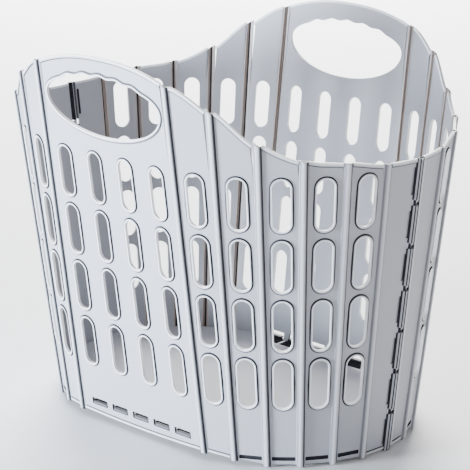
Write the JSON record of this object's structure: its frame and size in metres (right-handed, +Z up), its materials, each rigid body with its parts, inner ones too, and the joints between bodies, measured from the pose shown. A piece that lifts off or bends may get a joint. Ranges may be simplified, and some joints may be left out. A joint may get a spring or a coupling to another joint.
{
  "type": "pop up laundry hamper",
  "caption": "Oval laundry hamper with slotted walls that fold flat on living hinges and snap seams, finger-wave carry holes and a base that lifts as it folds.",
  "frame": {"origin": "on the floor, under the middle of the hamper", "axes": "+X from seam to seam, to the right as seen from the front, -Y towards the front wide panel, +Z up"},
  "size_m": [0.4762, 0.3666, 0.3894],
  "materials": {
    "wall_plastic": "fine satin moulded polypropylene, light blue-grey",
    "base_plastic": "satin moulded polypropylene, light grey"
  },
  "bodies": {
    "front_wide_panel": {"front_wide_panel": "wall_plastic"},
    "front_right_panel_1": {"front_right_panel_1": "wall_plastic"},
    "front_right_panel_2": {"front_right_panel_2": "wall_plastic"},
    "front_right_panel_3": {"front_right_panel_3": "wall_plastic"},
    "front_right_panel_4": {"front_right_panel_4": "wall_plastic"},
    "front_right_panel_5": {"front_right_panel_5": "wall_plastic"},
    "front_right_end_panel": {"front_right_end_panel": "wall_plastic"},
    "front_left_panel_1": {"front_left_panel_1": "wall_plastic"},
    "front_left_panel_2": {"front_left_panel_2": "wall_plastic"},
    "front_left_panel_3": {"front_left_panel_3": "wall_plastic"},
    "front_left_panel_4": {"front_left_panel_4": "wall_plastic"},
    "front_left_panel_5": {"front_left_panel_5": "wall_plastic"},
    "front_left_end_panel": {"front_left_end_panel": "wall_plastic"},
    "back_wide_panel": {"back_wide_panel": "wall_plastic"},
    "back_left_panel_1": {"back_left_panel_1": "wall_plastic"},
    "back_left_panel_2": {"back_left_panel_2": "wall_plastic"},
    "back_left_panel_3": {"back_left_panel_3": "wall_plastic"},
    "back_left_panel_4": {"back_left_panel_4": "wall_plastic"},
    "back_left_panel_5": {"back_left_panel_5": "wall_plastic"},
    "back_left_end_panel": {"back_left_end_panel": "wall_plastic"},
    "back_right_panel_1": {"back_right_panel_1": "wall_plastic"},
    "back_right_panel_2": {"back_right_panel_2": "wall_plastic"},
    "back_right_panel_3": {"back_right_panel_3": "wall_plastic"},
    "back_right_panel_4": {"back_right_panel_4": "wall_plastic"},
    "back_right_panel_5": {"back_right_panel_5": "wall_plastic"},
    "back_right_end_panel": {"back_right_end_panel": "wall_plastic"},
    "base_long_flap": {"base_long_flap": "base_plastic"},
    "base_short_flap": {"base_short_flap": "base_plastic"}
  },
  "joints": [
    {"name": "front_right_hinge_1", "type": "hinge", "parent": "front_wide_panel", "child": "front_right_panel_1", "pos_m": [0.0845, -0.13148, 0], "axis": [0, 0.1272, -0.9919], "range_deg": [0, 13.25]},
    {"name": "front_right_hinge_2", "type": "hinge", "parent": "front_right_panel_1", "child": "front_right_panel_2", "pos_m": [0.11449, -0.12185, 0], "axis": [-0.029, 0.1179, -0.9926], "range_deg": [0, 8.66]},
    {"name": "front_right_hinge_3", "type": "hinge", "parent": "front_right_panel_2", "child": "front_right_panel_3", "pos_m": [0.14194, -0.10638, 0], "axis": [-0.0556, 0.103, -0.9931], "range_deg": [0, 8.36]},
    {"name": "front_right_hinge_4", "type": "hinge", "parent": "front_right_panel_3", "child": "front_right_panel_4", "pos_m": [0.16585, -0.08588, 0], "axis": [-0.0788, 0.0832, -0.9934], "range_deg": [0, 9.86]},
    {"name": "front_right_hinge_5", "type": "hinge", "parent": "front_right_panel_4", "child": "front_right_panel_5", "pos_m": [0.18446, -0.06046, 0], "axis": [-0.0968, 0.0586, -0.9936], "range_deg": [0, 10.6]},
    {"name": "front_right_hinge_6", "type": "hinge", "parent": "front_right_panel_5", "child": "front_right_end_panel", "pos_m": [0.19626, -0.03126, 0], "axis": [-0.1083, 0.0303, -0.9937], "range_deg": [0, 11.12]},
    {"name": "right_seam", "type": "hinge", "parent": "front_right_end_panel", "child": "back_right_end_panel", "pos_m": [0.20015, 0, 0], "axis": [0.1121, 0, 0.9937], "range_deg": [0, 124.1]},
    {"name": "back_right_hinge_6", "type": "hinge", "parent": "back_right_end_panel", "child": "back_right_panel_5", "pos_m": [0.19626, 0.03126, 0], "axis": [-0.1083, -0.0303, -0.9937], "range_deg": [0, 11.12]},
    {"name": "back_right_hinge_5", "type": "hinge", "parent": "back_right_panel_5", "child": "back_right_panel_4", "pos_m": [0.18446, 0.06046, 0], "axis": [-0.0968, -0.0586, -0.9936], "range_deg": [0, 10.6]},
    {"name": "back_right_hinge_4", "type": "hinge", "parent": "back_right_panel_4", "child": "back_right_panel_3", "pos_m": [0.16585, 0.08588, 0], "axis": [-0.0788, -0.0832, -0.9934], "range_deg": [0, 9.86]},
    {"name": "back_right_hinge_3", "type": "hinge", "parent": "back_right_panel_3", "child": "back_right_panel_2", "pos_m": [0.14194, 0.10638, 0], "axis": [-0.0556, -0.103, -0.9931], "range_deg": [0, 8.36]},
    {"name": "back_right_hinge_2", "type": "hinge", "parent": "back_right_panel_2", "child": "back_right_panel_1", "pos_m": [0.11449, 0.12185, 0], "axis": [-0.029, -0.1179, -0.9926], "range_deg": [0, 8.66]},
    {"name": "back_right_hinge_1", "type": "hinge", "parent": "back_right_panel_1", "child": "back_wide_panel", "pos_m": [0.0845, 0.13148, 0], "axis": [0, -0.1272, -0.9919], "range_deg": [0, 13.27]},
    {"name": "back_left_hinge_1", "type": "hinge", "parent": "back_wide_panel", "child": "back_left_panel_1", "pos_m": [-0.0845, 0.13148, 0], "axis": [0, -0.1272, -0.9919], "range_deg": [0, 13.27]},
    {"name": "back_left_hinge_2", "type": "hinge", "parent": "back_left_panel_1", "child": "back_left_panel_2", "pos_m": [-0.11449, 0.12185, 0], "axis": [0.029, -0.1179, -0.9926], "range_deg": [0, 8.66]},
    {"name": "back_left_hinge_3", "type": "hinge", "parent": "back_left_panel_2", "child": "back_left_panel_3", "pos_m": [-0.14194, 0.10638, 0], "axis": [0.0556, -0.103, -0.9931], "range_deg": [0, 8.36]},
    {"name": "back_left_hinge_4", "type": "hinge", "parent": "back_left_panel_3", "child": "back_left_panel_4", "pos_m": [-0.16585, 0.08588, 0], "axis": [0.0788, -0.0832, -0.9934], "range_deg": [0, 9.86]},
    {"name": "back_left_hinge_5", "type": "hinge", "parent": "back_left_panel_4", "child": "back_left_panel_5", "pos_m": [-0.18446, 0.06046, 0], "axis": [0.0968, -0.0586, -0.9936], "range_deg": [0, 10.6]},
    {"name": "back_left_hinge_6", "type": "hinge", "parent": "back_left_panel_5", "child": "back_left_end_panel", "pos_m": [-0.19626, 0.03126, 0], "axis": [0.1083, -0.0303, -0.9937], "range_deg": [0, 11.12]},
    {"name": "front_left_hinge_1", "type": "hinge", "parent": "front_wide_panel", "child": "front_left_panel_1", "pos_m": [-0.0845, -0.13148, 0], "axis": [0, -0.1272, 0.9919], "range_deg": [0, 13.27]},
    {"name": "front_left_hinge_2", "type": "hinge", "parent": "front_left_panel_1", "child": "front_left_panel_2", "pos_m": [-0.11449, -0.12185, 0], "axis": [-0.029, -0.1179, 0.9926], "range_deg": [0, 8.66]},
    {"name": "front_left_hinge_3", "type": "hinge", "parent": "front_left_panel_2", "child": "front_left_panel_3", "pos_m": [-0.14194, -0.10638, 0], "axis": [-0.0556, -0.103, 0.9931], "range_deg": [0, 8.36]},
    {"name": "front_left_hinge_4", "type": "hinge", "parent": "front_left_panel_3", "child": "front_left_panel_4", "pos_m": [-0.16585, -0.08588, 0], "axis": [-0.0788, -0.0832, 0.9934], "range_deg": [0, 9.86]},
    {"name": "front_left_hinge_5", "type": "hinge", "parent": "front_left_panel_4", "child": "front_left_panel_5", "pos_m": [-0.18446, -0.06046, 0], "axis": [-0.0968, -0.0586, 0.9936], "range_deg": [0, 10.6]},
    {"name": "front_left_hinge_6", "type": "hinge", "parent": "front_left_panel_5", "child": "front_left_end_panel", "pos_m": [-0.19626, -0.03126, 0], "axis": [-0.1083, -0.0303, 0.9937], "range_deg": [0, 11.12]},
    {"name": "long_flap_hinge", "type": "hinge", "parent": "front_wide_panel", "child": "base_long_flap", "pos_m": [0, -0.134, 0.0197], "axis": [1, 0, 0], "range_deg": [0, 85.52]},
    {"name": "short_flap_hinge", "type": "hinge", "parent": "back_wide_panel", "child": "base_short_flap", "pos_m": [0, 0.134, 0.0197], "axis": [-1, 0, 0], "range_deg": [0, 85.52]}
  ],
  "couplings": [
    {"joint": "front_right_hinge_2", "follows": "front_right_hinge_1", "ratio": 0.65213},
    {"joint": "front_right_hinge_3", "follows": "front_right_hinge_1", "ratio": 0.62982},
    {"joint": "front_right_hinge_4", "follows": "front_right_hinge_1", "ratio": 0.74242},
    {"joint": "front_right_hinge_5", "follows": "front_right_hinge_1", "ratio": 0.79877},
    {"joint": "front_right_hinge_6", "follows": "front_right_hinge_1", "ratio": 0.83821},
    {"joint": "right_seam", "follows": "front_right_hinge_1", "ratio": 9.3658},
    {"joint": "back_right_hinge_6", "follows": "front_right_hinge_1", "ratio": 0.83821},
    {"joint": "back_right_hinge_5", "follows": "front_right_hinge_1", "ratio": 0.79877},
    {"joint": "back_right_hinge_4", "follows": "front_right_hinge_1", "ratio": 0.74242},
    {"joint": "back_right_hinge_3", "follows": "front_right_hinge_1", "ratio": 0.62982},
    {"joint": "back_right_hinge_2", "follows": "front_right_hinge_1", "ratio": 0.65213},
    {"joint": "back_right_hinge_1", "follows": "front_right_hinge_1", "ratio": 1},
    {"joint": "back_left_hinge_1", "follows": "front_right_hinge_1", "ratio": 1},
    {"joint": "back_left_hinge_2", "follows": "front_right_hinge_1", "ratio": 0.65213},
    {"joint": "back_left_hinge_3", "follows": "front_right_hinge_1", "ratio": 0.62982},
    {"joint": "back_left_hinge_4", "follows": "front_right_hinge_1", "ratio": 0.74242},
    {"joint": "back_left_hinge_5", "follows": "front_right_hinge_1", "ratio": 0.79877},
    {"joint": "back_left_hinge_6", "follows": "front_right_hinge_1", "ratio": 0.83821},
    {"joint": "front_left_hinge_1", "follows": "front_right_hinge_1", "ratio": 1},
    {"joint": "front_left_hinge_2", "follows": "front_right_hinge_1", "ratio": 0.65213},
    {"joint": "front_left_hinge_3", "follows": "front_right_hinge_1", "ratio": 0.62982},
    {"joint": "front_left_hinge_4", "follows": "front_right_hinge_1", "ratio": 0.74242},
    {"joint": "front_left_hinge_5", "follows": "front_right_hinge_1", "ratio": 0.79877},
    {"joint": "front_left_hinge_6", "follows": "front_right_hinge_1", "ratio": 0.83821},
    {"joint": "long_flap_hinge", "follows": "front_right_hinge_1", "ratio": 6.4536},
    {"joint": "short_flap_hinge", "follows": "front_right_hinge_1", "ratio": 6.4536}
  ]
}
